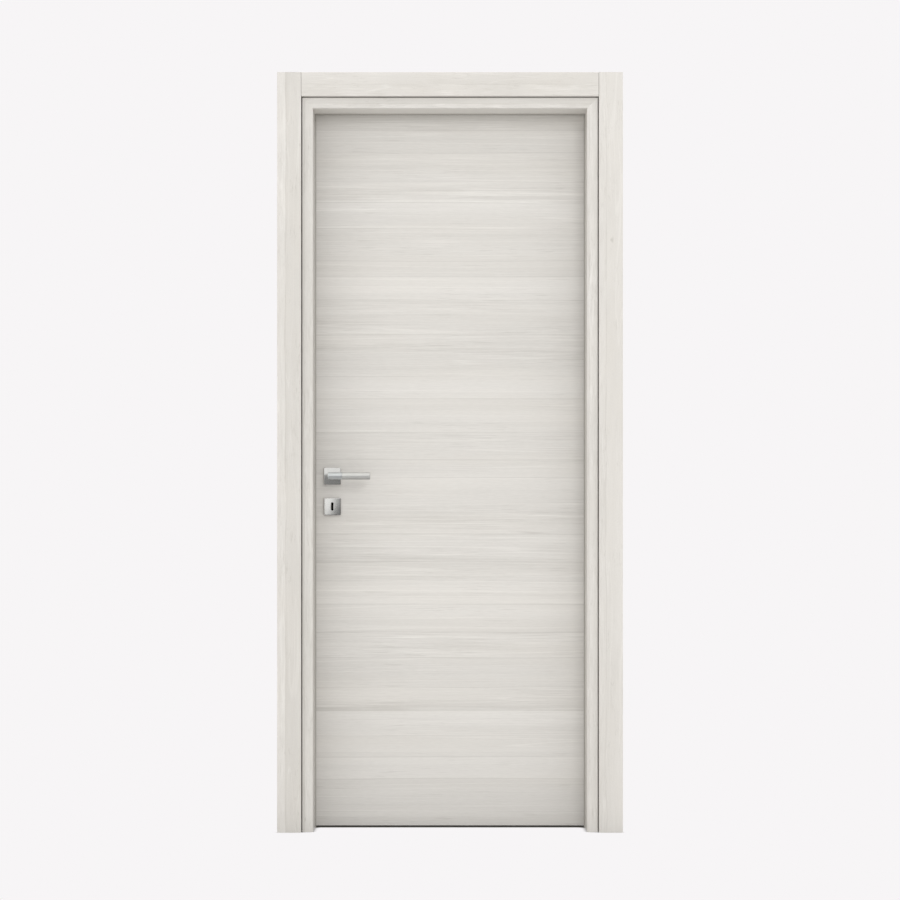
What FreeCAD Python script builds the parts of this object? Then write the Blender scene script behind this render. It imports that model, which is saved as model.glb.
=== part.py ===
import FreeCAD, Part
import math
import os

os.makedirs("parts", exist_ok=True)

# Frame of the drawing
# X runs to the right, Y runs through the wall away from the viewer, Z is up from the floor.
# X = 0 is the outer face of the hinge jamb, Y = 0 is the middle of the wall.
# Section drawings use u and y: u is measured outward from the clear passage, y through the wall.

# Passage and wall
passage_width = 800.0
passage_height = 2112.0
wall_thickness = 100.0
jamb_thickness = 44.0

# Jamb section
jamb_face_width = 31.0
jamb_proud = 6.5
shadow_gap_width = 3.0
shadow_gap_depth = 12.0
groove_width = 5.0
groove_depth = 20.0
stop_back_y = 27.5
rebate_u = 14.0
jamb_arris_radius = 2.0
jamb_small_radius = 0.6

# Architraves
board_width = 70.0
front_board_thickness = 15.0
back_board_thickness = 10.0
board_arris_radius = 1.5
board_joint = 0.7

# Seal
seal_slot_u = 5.0
seal_slot_width = 2.5
seal_slot_depth = 6.0
seal_reach = 4.0
seal_tail_u = 8.5
seal_leaf_gap = 0.3

# Leaf
leaf_thickness = 44.0
leaf_front_y = 32.5
leaf_body_thickness = 29.0
leaf_side_clearance = 6.0
lip_overlap_u = 22.0
floor_gap = 7.0
skin_thickness = 4.0
band_thickness = 1.0
stile_width = 45.0
rail_height = 45.0

# Core cells
cell_rows = 14
cell_columns = 8
core_wall = 3.0

# Lock
backset = 60.0
lock_y = 47.0
spindle_z = 1040.0
key_distance = 90.0
forend_width = 18.0
forend_height = 196.0
forend_thickness = 3.0
forend_drop = 32.0
case_thickness = 14.0
case_depth = 80.0
case_height = 156.0
case_bore_radius = 8.0
block_width = 90.0
block_height = 300.0
latch_thickness = 10.0
latch_height = 28.0
latch_length = 20.0
latch_rise = 22.0
bolt_thickness = 10.0
bolt_height = 34.0
bolt_length = 22.0
bolt_rise = 23.0
keyway_depth = 6.0

# Strike plate
strike_width = 18.0
strike_height = 170.0
strike_thickness = 2.0
strike_drop = 23.0
strike_corner_radius = 3.0
strike_clearance = 2.0
mortise_depth = 12.0

# Roses and escutcheons
rose_size = 50.0
rose_depth = 8.0
rose_corner_radius = 2.0
rose_edge_radius = 0.8
rose_wall = 2.0
rose_crown = 1.5
rose_hub_radius = 15.0
neck_radius = 9.5
neck_clearance = 0.4
skin_bore_radius = 11.0
keyhole_height = 24.0
keyhole_end_radius = 3.75
keyhole_waist = 6.0

# Lever
lever_reach = 50.0
sleeve_radius = 10.6
sleeve_back = 10.5
sleeve_front = 31.0
grip_radius = 10.3
grip_end = 113.5
lever_edge_radius = 1.2
tenon_radius = 6.0
tenon_length = 14.0
spindle_side = 8.0
socket_depth = 30.0
neck_gap = 2.0

# Hinges
hinge_axis_u = 30.0
hinge_axis_y = 71.5
barrel_radius = 7.0
barrel_half = 30.0
barrel_split = 0.6
barrel_dome = 4.0
barrel_step = 1.2
barrel_groove = 1.0
barrel_shoulder = 0.5
pin_radius = 3.5
pin_length = 24.0
pin_root = 5.0
pin_clearance = 0.4
stem_radius = 3.0
leaf_stem_length = 45.0
leaf_stem_angle = 15.0
frame_stem_length = 42.0
frame_stem_angle = 12.0
bottom_hinge_z = 240.0
top_hinge_drop = 208.0

# Tool overrun, how far a cutting shape runs past the face that it cuts
overrun = 1.0
far = 200.0

# Worked out from the sizes above
hinge_edge_x = -jamb_thickness
lock_edge_x = -jamb_thickness - passage_width
wall_half = wall_thickness / 2.0
jamb_front_y = -wall_half - jamb_proud
jamb_back_y = wall_half + jamb_proud
gap_u = jamb_face_width + shadow_gap_width
groove_u = gap_u + groove_width
body_u = rebate_u - leaf_side_clearance
leaf_back_y = leaf_front_y + leaf_thickness
lip_y = leaf_front_y + leaf_body_thickness
body_top = passage_height + body_u
lip_top = passage_height + lip_overlap_u
spindle_x = lock_edge_x - body_u + backset
board_top = passage_height + gap_u + board_width
hinge_axis_x = hinge_edge_x + hinge_axis_u
keyhole_z = spindle_z - key_distance
forend_z = spindle_z - forend_drop
latch_z = spindle_z + latch_rise
bolt_z = keyhole_z + bolt_rise
strike_z = spindle_z - strike_drop
top_hinge_z = passage_height - top_hinge_drop
hinge_heights = [bottom_hinge_z, (bottom_hinge_z + top_hinge_z) / 2.0, top_hinge_z]


def vec(x, y, z):
    return FreeCAD.Vector(x, y, z)


def rounded_wire(corners):
    """A closed wire in the XY plane through (a, b, radius) corners, each rounded by its own radius."""
    starts = []
    ends = []
    middles = []
    count = len(corners)
    for i in range(count):
        a, b, r = corners[i]
        here = vec(a, b, 0)
        before = vec(corners[i - 1][0], corners[i - 1][1], 0) - here
        after = vec(corners[(i + 1) % count][0], corners[(i + 1) % count][1], 0) - here
        before.normalize()
        after.normalize()
        if r == 0:
            starts.append(here)
            ends.append(here)
            middles.append(None)
            continue
        half = before.getAngle(after) / 2.0
        run = r / math.tan(half)
        bisector = before + after
        bisector.normalize()
        centre = here + bisector * (r / math.sin(half))
        starts.append(here + before * run)
        ends.append(here + after * run)
        middles.append(centre - bisector * r)
    edges = []
    for i in range(count):
        if middles[i] is not None:
            edges.append(Part.Arc(starts[i], middles[i], ends[i]).toShape())
        following = starts[(i + 1) % count]
        if (following - ends[i]).Length > 1e-6:
            edges.append(Part.makeLine(ends[i], following))
    return Part.Wire(edges)


def section_face(corners):
    return Part.Face(rounded_wire(corners))


def block(x0, x1, y0, y1, z0, z1):
    return Part.makeBox(x1 - x0, y1 - y0, z1 - z0, vec(x0, y0, z0))


def polygon_prism(points, y0, y1):
    """A prism along Y on a polygon of (x, z) points."""
    ring = [vec(x, y0, z) for x, z in points]
    ring.append(ring[0])
    face = Part.Face(Part.makePolygon(ring))
    return face.extrude(vec(0, y1 - y0, 0))


def side_run(corners, side, z0, z1):
    """A section run up one side of the opening, from z0 to z1."""
    if side == "hinge":
        face = section_face(corners)
        face.translate(vec(hinge_edge_x, 0, z0))
    else:
        face = section_face([(-u, y, r) for u, y, r in corners])
        face.translate(vec(lock_edge_x, 0, z0))
    return face.extrude(vec(0, 0, z1 - z0))


def head_run(corners, x0, x1):
    """A section run across the head of the opening, from x0 to x1."""
    face = section_face(corners)
    face.rotate(vec(0, 0, 0), vec(0, 1, 0), -90)
    face.translate(vec(x0, 0, passage_height))
    return face.extrude(vec(x1 - x0, 0, 0))


# The three sides of the opening meet on 45 degree mitres, so one section serves all three.
def member(corners, side, bottom=0.0):
    """A section run along one side of the opening and mitred where it meets its neighbours."""
    if side == "head":
        solid = head_run(corners, lock_edge_x - far, hinge_edge_x + far)
        corner_left = (lock_edge_x, passage_height)
        corner_right = (hinge_edge_x, passage_height)
        keep = [
            (lock_edge_x + far, passage_height - far),
            (hinge_edge_x - far, passage_height - far),
            corner_right,
            (hinge_edge_x + far, passage_height + far),
            (lock_edge_x - far, passage_height + far),
            corner_left,
        ]
        return solid.common(polygon_prism(keep, -far, far))
    solid = side_run(corners, side, bottom, passage_height + far)
    edge, outward = (hinge_edge_x, 1.0) if side == "hinge" else (lock_edge_x, -1.0)
    keep = [
        (edge - outward * far, bottom - far),
        (edge - outward * far, passage_height - far),
        (edge + outward * far, passage_height + far),
        (edge + outward * far, bottom - far),
    ]
    return solid.common(polygon_prism(keep, -far, far))


def slab_on_edge(width, height, radius, x0, x1, y, z):
    """A plate with rounded ends lying across Y and Z, its thickness along X from x0 to x1."""
    half_w = width / 2.0
    half_h = height / 2.0
    face = section_face([
        (-half_w, -half_h, radius),
        (half_w, -half_h, radius),
        (half_w, half_h, radius),
        (-half_w, half_h, radius),
    ])
    plate = face.extrude(vec(0, 0, x1 - x0))
    plate.rotate(vec(0, 0, 0), vec(1, 1, 1), 120)
    plate.translate(vec(x0, y, z))
    return plate


def across_y(face, y0, y1, x, z):
    """A face drawn in XY, stood up in XZ at (x, z) and extruded from y0 to y1."""
    solid = face.extrude(vec(0, 0, y1 - y0))
    solid.rotate(vec(0, 0, 0), vec(1, 0, 0), 90)
    solid.translate(vec(x, y1, z))
    return solid


def rod(radius, start, end):
    return Part.makeCylinder(radius, (end - start).Length, start, end - start)


nodes = {}

# Jambs, each a front part with the stop and a rebate board behind it
jamb_corners = [
    (0, jamb_front_y, jamb_arris_radius),
    (jamb_face_width, jamb_front_y, jamb_small_radius),
    (jamb_face_width, jamb_front_y + shadow_gap_depth, 0),
    (gap_u, jamb_front_y + shadow_gap_depth, 0),
    (gap_u, groove_depth - wall_half, 0),
    (groove_u, groove_depth - wall_half, 0),
    (groove_u, -wall_half, 0),
    (jamb_thickness, -wall_half, 0),
    (jamb_thickness, stop_back_y, 0),
    (seal_slot_u + seal_slot_width, stop_back_y, 0),
    (seal_slot_u + seal_slot_width, stop_back_y - seal_slot_depth, 0),
    (seal_slot_u, stop_back_y - seal_slot_depth, 0),
    (seal_slot_u, stop_back_y, 0),
    (0, stop_back_y, jamb_small_radius),
]
rebate_corners = [
    (rebate_u, stop_back_y, 0),
    (jamb_thickness, stop_back_y, 0),
    (jamb_thickness, wall_half, 0),
    (groove_u, wall_half, 0),
    (groove_u, wall_half - groove_depth, 0),
    (gap_u, wall_half - groove_depth, 0),
    (gap_u, jamb_back_y - shadow_gap_depth, 0),
    (jamb_face_width, jamb_back_y - shadow_gap_depth, 0),
    (jamb_face_width, jamb_back_y, jamb_small_radius),
    (rebate_u, jamb_back_y, jamb_small_radius),
]
rebates = {}
for side in ("hinge", "lock", "head"):
    nodes["jamb_" + side] = member(jamb_corners, side)
    rebates[side] = member(rebate_corners, side)

# Seals
seal_front_y = leaf_front_y - seal_leaf_gap
seal_corners = [
    (-seal_reach, stop_back_y, 0.8),
    (seal_slot_u, stop_back_y, 0),
    (seal_slot_u, stop_back_y - seal_slot_depth, 0.4),
    (seal_slot_u + seal_slot_width, stop_back_y - seal_slot_depth, 0.4),
    (seal_slot_u + seal_slot_width, stop_back_y, 0),
    (seal_tail_u, stop_back_y, 0),
    (seal_tail_u, seal_front_y, 1.0),
    (-seal_reach, seal_front_y, 2.2),
]
for side in ("hinge", "lock", "head"):
    nodes["seal_" + side] = member(seal_corners, side)

# Architraves, a thicker set on the front face of the wall than on the back, where the leaf swings
board_sets = (
    ("front", -1.0, front_board_thickness),
    ("back", 1.0, back_board_thickness),
)
for face_name, outward, thickness in board_sets:
    wall_y = outward * wall_half
    outer_y = wall_y + outward * thickness
    tongue_y = wall_y - outward * groove_depth
    board_corners = [
        (gap_u, outer_y, board_arris_radius),
        (gap_u, tongue_y, 0),
        (groove_u, tongue_y, 0),
        (groove_u, wall_y, 0),
        (gap_u + board_width, wall_y, 0),
        (gap_u + board_width, outer_y, board_arris_radius),
    ]
    tongue_top = passage_height + gap_u
    for side, edge, direction in (("hinge", hinge_edge_x, 1.0), ("lock", lock_edge_x, -1.0)):
        board = side_run(board_corners, side, 0.0, board_top)
        over_u = sorted([
            edge + direction * (gap_u - overrun),
            edge + direction * (groove_u + overrun),
        ])
        behind = sorted([wall_y, tongue_y - outward * overrun])
        above = board_top + overrun
        waste = block(over_u[0], over_u[1], behind[0], behind[1], tongue_top, above)
        nodes["architrave_" + face_name + "_" + side] = board.cut(waste)
    board_end_u = gap_u - board_joint
    head_board = head_run(board_corners, lock_edge_x - board_end_u, hinge_edge_x + board_end_u)
    nodes["architrave_" + face_name + "_head"] = head_board

# Leaf skins, bands, stiles and rails
skin_back_y = leaf_back_y - skin_thickness
core_front_y = leaf_front_y + skin_thickness
front_skin = block(
    lock_edge_x - body_u, hinge_edge_x + body_u, leaf_front_y, core_front_y, floor_gap, body_top
)
back_skin = block(
    lock_edge_x - lip_overlap_u,
    hinge_edge_x + lip_overlap_u,
    skin_back_y,
    leaf_back_y,
    floor_gap,
    lip_top,
)
band_corners = [
    (body_u, core_front_y, 0),
    (body_u, lip_y, 0),
    (lip_overlap_u, lip_y, 0.8),
    (lip_overlap_u, skin_back_y, 0),
    (lip_overlap_u - band_thickness, skin_back_y, 0),
    (lip_overlap_u - band_thickness, lip_y + band_thickness, 0),
    (body_u - band_thickness, lip_y + band_thickness, 0),
    (body_u - band_thickness, core_front_y, 0),
]
bands = {side: member(band_corners, side, floor_gap) for side in ("hinge", "lock", "head")}
stile_body_u = body_u - band_thickness
stile_lip_u = lip_overlap_u - band_thickness
stile_inner_u = body_u - stile_width
stile_corners = [
    (stile_inner_u, core_front_y, 0),
    (stile_body_u, core_front_y, 0),
    (stile_body_u, lip_y + band_thickness, 0),
    (stile_lip_u, lip_y + band_thickness, 0),
    (stile_lip_u, skin_back_y, 0),
    (stile_inner_u, skin_back_y, 0),
]
stiles = {side: member(stile_corners, side, floor_gap) for side in ("hinge", "lock")}
nodes["leaf_top_rail"] = member(stile_corners, "head")
inner_left = lock_edge_x - stile_inner_u
inner_right = hinge_edge_x + stile_inner_u
core_bottom = floor_gap + rail_height
core_top = passage_height + stile_inner_u
nodes["leaf_bottom_rail"] = block(
    inner_left, inner_right, core_front_y, skin_back_y, floor_gap, core_bottom
)

# Lock block and honeycomb core
block_bottom = forend_z - block_height / 2.0
lock_block = block(
    inner_left,
    inner_left + block_width,
    core_front_y,
    skin_back_y,
    block_bottom,
    block_bottom + block_height,
)
sheet = Part.Face(
    Part.makePolygon([
        vec(inner_left, core_front_y, core_bottom),
        vec(inner_right, core_front_y, core_bottom),
        vec(inner_right, core_front_y, core_top),
        vec(inner_left, core_front_y, core_top),
        vec(inner_left, core_front_y, core_bottom),
    ])
)
column_pitch = (inner_right - inner_left) / cell_columns
row_pitch = (core_top - core_bottom) / cell_rows
cells = []
for column in range(cell_columns):
    shift = row_pitch / 2.0 if column % 2 else 0.0
    for row in range(-1, cell_rows + 1):
        cx = inner_left + (column + 0.5) * column_pitch
        cz = core_bottom + (row + 0.5) * row_pitch + shift
        tall = row_pitch / 2.0 - core_wall / 2.0
        wide = column_pitch * 2.0 / 3.0 - core_wall / 2.0
        hexagon = [
            vec(cx - wide, core_front_y, cz),
            vec(cx - wide / 2.0, core_front_y, cz - tall),
            vec(cx + wide / 2.0, core_front_y, cz - tall),
            vec(cx + wide, core_front_y, cz),
            vec(cx + wide / 2.0, core_front_y, cz + tall),
            vec(cx - wide / 2.0, core_front_y, cz + tall),
            vec(cx - wide, core_front_y, cz),
        ]
        cells.append(Part.Face(Part.makePolygon(hexagon)))
honeycomb = sheet.cut(cells).extrude(vec(0, skin_back_y - core_front_y, 0))
ring = 2.0
rim = block(inner_left, inner_right, core_front_y, skin_back_y, core_bottom, core_top)
rim = rim.cut(
    block(
        inner_left + ring,
        inner_right - ring,
        core_front_y - overrun,
        skin_back_y + overrun,
        core_bottom + ring,
        core_top - ring,
    )
)
honeycomb = honeycomb.fuse(rim).removeSplitter()
nodes["leaf_honeycomb_core"] = honeycomb.cut(lock_block)

# Lock case and forend in the lock edge of the leaf
lock_face_x = lock_edge_x - body_u
case_front_x = lock_face_x + forend_thickness
case_y0 = lock_y - case_thickness / 2.0
case_y1 = lock_y + case_thickness / 2.0
case_z0 = forend_z - case_height / 2.0
case_solid = block(
    case_front_x, case_front_x + case_depth, case_y0, case_y1, case_z0, case_z0 + case_height
)
forend_radius = forend_width / 2.0
forend = slab_on_edge(
    forend_width, forend_height, forend_radius, lock_face_x, case_front_x, lock_y, forend_z
)
latch = block(
    lock_face_x,
    lock_face_x + latch_length,
    lock_y - latch_thickness / 2.0,
    lock_y + latch_thickness / 2.0,
    latch_z - latch_height / 2.0,
    latch_z + latch_height / 2.0,
)
bolt = block(
    lock_face_x,
    lock_face_x + bolt_length,
    lock_y - bolt_thickness / 2.0,
    lock_y + bolt_thickness / 2.0,
    bolt_z - bolt_height / 2.0,
    bolt_z + bolt_height / 2.0,
)


def keyhole_face():
    """A slot with two round ends and a narrower waist, drawn about its own centre."""
    half = keyhole_height / 2.0 - keyhole_end_radius
    upper = Part.Face(Part.Wire(Part.makeCircle(keyhole_end_radius, vec(0, half, 0))))
    lower = Part.Face(Part.Wire(Part.makeCircle(keyhole_end_radius, vec(0, -half, 0))))
    waist = Part.makePlane(keyhole_waist, 2 * half, vec(-keyhole_waist / 2.0, -half, 0))
    return upper.fuse([lower, waist]).removeSplitter().Faces[0]


def keyway(y0, y1):
    return across_y(keyhole_face(), y0, y1, spindle_x, keyhole_z)


spindle_bore = rod(
    case_bore_radius,
    vec(spindle_x, case_y0 - overrun, spindle_z),
    vec(spindle_x, case_y1 + overrun, spindle_z),
)
front_keyway = keyway(leaf_front_y - overrun, case_y0 + keyway_depth)
back_keyway = keyway(case_y1 - keyway_depth, leaf_back_y + overrun)
nodes["lock_case"] = case_solid.cut([latch, bolt, spindle_bore, front_keyway, back_keyway])
nodes["lock_forend"] = forend.cut([latch, bolt])
nodes["latch_bolt"] = latch
nodes["dead_bolt"] = bolt
handle_bore = rod(
    skin_bore_radius,
    vec(spindle_x, leaf_front_y - overrun, spindle_z),
    vec(spindle_x, leaf_back_y + overrun, spindle_z),
)
lock_cuts = [case_solid, forend]
nodes["leaf_lock_block"] = lock_block.cut([case_solid, handle_bore, front_keyway, back_keyway])
bands["lock"] = bands["lock"].cut([forend])
stiles["lock"] = stiles["lock"].cut(lock_cuts)
nodes["leaf_front_skin"] = front_skin.cut([handle_bore, front_keyway])
nodes["leaf_back_skin"] = back_skin.cut([handle_bore, back_keyway])

# Strike plate in the rebate of the lock jamb
strike_face_x = lock_edge_x - rebate_u
strike_solid = slab_on_edge(
    strike_width,
    strike_height,
    strike_corner_radius,
    strike_face_x - strike_thickness,
    strike_face_x,
    lock_y,
    strike_z,
)
pockets = []
for centre_z, height in ((latch_z, latch_height), (bolt_z, bolt_height)):
    pockets.append(
        block(
            strike_face_x - mortise_depth,
            strike_face_x + overrun,
            lock_y - latch_thickness / 2.0 - strike_clearance / 2.0,
            lock_y + latch_thickness / 2.0 + strike_clearance / 2.0,
            centre_z - height / 2.0 - strike_clearance,
            centre_z + height / 2.0 + strike_clearance,
        )
    )
nodes["strike_plate"] = strike_solid.cut(pockets)
rebates["lock"] = rebates["lock"].cut([strike_solid] + pockets)

# Hinges, each in two halves with a stem screwed into the wood
leaf_turn = math.radians(leaf_stem_angle)
frame_turn = math.radians(frame_stem_angle)
leaf_stem_dir = vec(-math.cos(leaf_turn), -math.sin(leaf_turn), 0)
frame_stem_dir = vec(-math.sin(frame_turn), -math.cos(frame_turn), 0)


def barrel_wire(z_flat, z_end):
    """Half outline of one barrel: flat at the split, stepped collar and domed cap at the far end."""
    up = 1.0 if z_end > z_flat else -1.0
    cap_radius = barrel_radius - barrel_step
    neck_z = z_end - up * barrel_dome
    crown = vec(0, 0, z_end)
    shoulder = vec(cap_radius, 0, neck_z)
    ball = (cap_radius ** 2 + barrel_dome ** 2) / (2.0 * barrel_dome)
    tilt = math.asin(cap_radius / ball) / 2.0
    crown_mid = vec(ball * math.sin(tilt), 0, z_end - up * ball * (1.0 - math.cos(tilt)))
    points = [
        vec(0, 0, z_flat),
        vec(barrel_radius - barrel_shoulder, 0, z_flat),
        vec(barrel_radius, 0, z_flat + up * barrel_shoulder),
        vec(barrel_radius, 0, neck_z - up * (barrel_groove + barrel_shoulder)),
        vec(cap_radius, 0, neck_z - up * barrel_groove),
        shoulder,
    ]
    edges = [Part.makeLine(points[i], points[i + 1]) for i in range(len(points) - 1)]
    edges.append(Part.Arc(shoulder, crown_mid, crown).toShape())
    edges.append(Part.makeLine(crown, points[0]))
    return Part.Wire(edges)


def barrel(z_flat, z_end):
    solid = Part.Face(barrel_wire(z_flat, z_end)).revolve(vec(0, 0, 0), vec(0, 0, 1), 360)
    solid.translate(vec(hinge_axis_x, hinge_axis_y, 0))
    return solid


for number, height in enumerate(hinge_heights, 1):
    axis = vec(hinge_axis_x, hinge_axis_y, 0)
    low_z = height - barrel_half / 2.0
    high_z = height + barrel_half / 2.0
    low = axis + vec(0, 0, low_z)
    high = axis + vec(0, 0, high_z)
    split_low = height - barrel_split / 2.0
    split_high = height + barrel_split / 2.0
    pin = rod(pin_radius, axis + vec(0, 0, height - pin_root), axis + vec(0, 0, height + pin_length))
    bore = rod(
        pin_radius + pin_clearance,
        axis + vec(0, 0, height - overrun),
        axis + vec(0, 0, height + pin_length + overrun),
    )
    frame_stem = rod(stem_radius, low, low + frame_stem_dir * frame_stem_length)
    leaf_stem = rod(stem_radius, high, high + leaf_stem_dir * leaf_stem_length)
    lower = barrel(split_low, height - barrel_half - barrel_dome).fuse([pin, frame_stem])
    upper = barrel(split_high, height + barrel_half + barrel_dome).fuse(leaf_stem).cut(bore)
    nodes["hinge_frame_half_%d" % number] = lower.removeSplitter()
    nodes["hinge_leaf_half_%d" % number] = upper
    rebates["hinge"] = rebates["hinge"].cut(frame_stem)
    stiles["hinge"] = stiles["hinge"].cut(leaf_stem)
    bands["hinge"] = bands["hinge"].cut(leaf_stem)

for side in ("hinge", "lock", "head"):
    nodes["jamb_rebate_" + side] = rebates[side]
    nodes["leaf_edge_band_" + side] = bands[side]
nodes["leaf_hinge_stile"] = stiles["hinge"]
nodes["leaf_lock_stile"] = stiles["lock"]


# Roses and escutcheons: a pressed cover with a solid hub behind it. Its face is crowned one way only, up and
# down on the roses and sideways on the escutcheons.
def cover_plate(crowned_sideways):
    half = rose_size / 2.0
    shoulder = rose_depth - rose_crown
    arch = Part.Wire([
        Part.Arc(vec(half, 0, shoulder), vec(0, 0, rose_depth), vec(-half, 0, shoulder)).toShape(),
        Part.makeLine(vec(-half, 0, shoulder), vec(-half, 0, 0)),
        Part.makeLine(vec(-half, 0, 0), vec(half, 0, 0)),
        Part.makeLine(vec(half, 0, 0), vec(half, 0, shoulder)),
    ])
    slab = Part.Face(arch).extrude(vec(0, rose_size, 0))
    slab.translate(vec(0, -half, 0))
    if not crowned_sideways:
        slab.rotate(vec(0, 0, 0), vec(0, 0, 1), 90)
    outline = section_face([
        (-half, -half, rose_corner_radius),
        (half, -half, rose_corner_radius),
        (half, half, rose_corner_radius),
        (-half, half, rose_corner_radius),
    ])
    plate = outline.extrude(vec(0, 0, rose_depth)).common(slab)
    rim_edges = [e for e in plate.Edges if e.BoundBox.ZMin > shoulder - 0.01]
    plate = plate.makeFillet(rose_edge_radius, rim_edges)
    inner = half - rose_wall
    hollow = block(-inner, inner, -inner, inner, -overrun, shoulder - rose_wall)
    hub = Part.makeCylinder(rose_hub_radius, rose_depth - rose_wall / 2.0)
    return plate.cut(hollow).fuse(hub).removeSplitter()


def on_leaf(solid, side, z):
    """Move a piece drawn from its seat upward onto one face of the leaf, at the spindle line."""
    if side == "front":
        solid.rotate(vec(0, 0, 0), vec(1, 0, 0), 90)
        solid.translate(vec(spindle_x, leaf_front_y, z))
    else:
        solid.rotate(vec(0, 0, 0), vec(1, 0, 0), -90)
        solid.translate(vec(spindle_x, leaf_back_y, z))
    return solid


# Levers: a round neck and sleeve in one piece, and a grip on a tenon in the sleeve
def lever_elbow():
    """Drawn with the neck up Z from the leaf face and the sleeve along X."""
    neck = Part.makeCylinder(neck_radius, lever_reach - neck_gap, vec(0, 0, neck_gap))
    sleeve = rod(sleeve_radius, vec(-sleeve_back, 0, lever_reach), vec(sleeve_front, 0, lever_reach))
    ends = [e for e in sleeve.Edges if e.BoundBox.XLength < 0.01]
    sleeve = sleeve.makeFillet(lever_edge_radius, ends)
    body = neck.fuse(sleeve)
    half = spindle_side / 2.0
    socket = block(-half, half, -half, half, -overrun, socket_depth)
    tenon_hole = rod(
        tenon_radius,
        vec(sleeve_front - tenon_length, 0, lever_reach),
        vec(sleeve_front + overrun, 0, lever_reach),
    )
    return body.cut([socket, tenon_hole])


def lever_grip():
    bar = rod(grip_radius, vec(sleeve_front, 0, lever_reach), vec(grip_end, 0, lever_reach))
    tip = [e for e in bar.Edges if e.BoundBox.XMin > grip_end - 0.01]
    bar = bar.makeFillet(lever_edge_radius, tip)
    tenon = rod(
        tenon_radius,
        vec(sleeve_front - tenon_length, 0, lever_reach),
        vec(sleeve_front + overrun, 0, lever_reach),
    )
    return bar.fuse(tenon)


for side in ("front", "back"):
    rose_bore = Part.makeCylinder(
        neck_radius + neck_clearance, 2 * rose_depth, vec(0, 0, -overrun)
    )
    rose = cover_plate(False).cut(rose_bore)
    nodes["rose_" + side] = on_leaf(rose, side, spindle_z)
    slot = keyhole_face().extrude(vec(0, 0, 2 * rose_depth))
    slot.translate(vec(0, 0, -overrun))
    shield = cover_plate(True).cut(slot)
    nodes["escutcheon_" + side] = on_leaf(shield, side, keyhole_z)
    nodes["lever_elbow_" + side] = on_leaf(lever_elbow(), side, spindle_z)
    nodes["lever_grip_" + side] = on_leaf(lever_grip(), side, spindle_z)

half_side = spindle_side / 2.0
nodes["spindle"] = block(
    spindle_x - half_side,
    spindle_x + half_side,
    leaf_front_y - socket_depth,
    leaf_back_y + socket_depth,
    spindle_z - half_side,
    spindle_z + half_side,
)

for name in sorted(nodes):
    shape = nodes[name]
    if shape.ShapeType != "Solid" and len(shape.Solids) == 1:
        shape = shape.Solids[0]
    if not shape.isValid() or len(shape.Solids) != 1:
        raise RuntimeError(name + " is not one valid solid")
    shape.exportStep("parts/" + name + ".step")
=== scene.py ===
import math
import bmesh
import bpy
import numpy as np
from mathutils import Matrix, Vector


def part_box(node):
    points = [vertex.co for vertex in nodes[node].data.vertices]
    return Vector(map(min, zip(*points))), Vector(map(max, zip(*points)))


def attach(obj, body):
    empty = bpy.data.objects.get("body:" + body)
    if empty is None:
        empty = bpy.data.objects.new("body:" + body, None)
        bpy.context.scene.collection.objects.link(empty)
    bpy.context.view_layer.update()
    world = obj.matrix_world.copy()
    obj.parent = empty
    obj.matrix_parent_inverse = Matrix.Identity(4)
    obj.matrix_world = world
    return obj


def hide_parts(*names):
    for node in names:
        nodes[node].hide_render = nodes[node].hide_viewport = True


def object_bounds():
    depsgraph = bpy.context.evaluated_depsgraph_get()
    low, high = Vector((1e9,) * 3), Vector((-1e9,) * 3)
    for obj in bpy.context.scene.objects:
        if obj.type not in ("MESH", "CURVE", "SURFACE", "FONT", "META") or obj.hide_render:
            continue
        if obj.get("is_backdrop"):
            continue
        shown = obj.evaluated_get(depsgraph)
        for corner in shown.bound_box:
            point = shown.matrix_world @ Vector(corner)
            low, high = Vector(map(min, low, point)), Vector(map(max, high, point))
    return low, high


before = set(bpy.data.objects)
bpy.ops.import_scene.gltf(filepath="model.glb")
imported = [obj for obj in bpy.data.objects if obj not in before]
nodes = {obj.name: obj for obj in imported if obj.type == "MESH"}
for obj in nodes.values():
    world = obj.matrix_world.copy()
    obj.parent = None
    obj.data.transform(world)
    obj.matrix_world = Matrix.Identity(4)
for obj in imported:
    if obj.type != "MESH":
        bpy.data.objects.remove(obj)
lowest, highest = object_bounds()


# Places and sizes taken from the frame, in metres
def node_box(name):
    """The lowest and the highest corner of a node's box."""
    low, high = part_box(name)
    return np.array(low), np.array(high)


rose_low, rose_high = node_box("rose_front")
plate_low, plate_high = node_box("escutcheon_front")
elbow_low, elbow_high = node_box("lever_elbow_front")
grip_low, grip_high = node_box("lever_grip_front")
lock_jamb_low, lock_jamb_high = node_box("jamb_lock")
hinge_jamb_low, hinge_jamb_high = node_box("jamb_hinge")

leaf_front_y = node_box("leaf_front_skin")[0][1]
leaf_back_y = node_box("leaf_back_skin")[1][1]
jamb_front_y = lock_jamb_low[1]
frame_half_width = (highest[0] - lowest[0]) / 2
passage_centre_x = (lock_jamb_low[0] + hinge_jamb_high[0]) / 2
passage_half = (hinge_jamb_low[0] - lock_jamb_high[0]) / 2
passage_top = node_box("jamb_head")[0][2]
cover_half = (rose_high[0] - rose_low[0]) / 2
cover_depth = rose_high[1] - rose_low[1]
spindle_x = (rose_low[0] + rose_high[0]) / 2
spindle_z = (rose_low[2] + rose_high[2]) / 2
keyhole_z = (plate_low[2] + plate_high[2]) / 2
sleeve_radius = (elbow_high[2] - elbow_low[2]) / 2
sleeve_start = elbow_low[0] - spindle_x
sleeve_end = elbow_high[0] - spindle_x
lever_reach = leaf_front_y - elbow_low[1] - sleeve_radius
grip_radius = (grip_high[2] - grip_low[2]) / 2
grip_end = grip_high[0] - spindle_x

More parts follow.
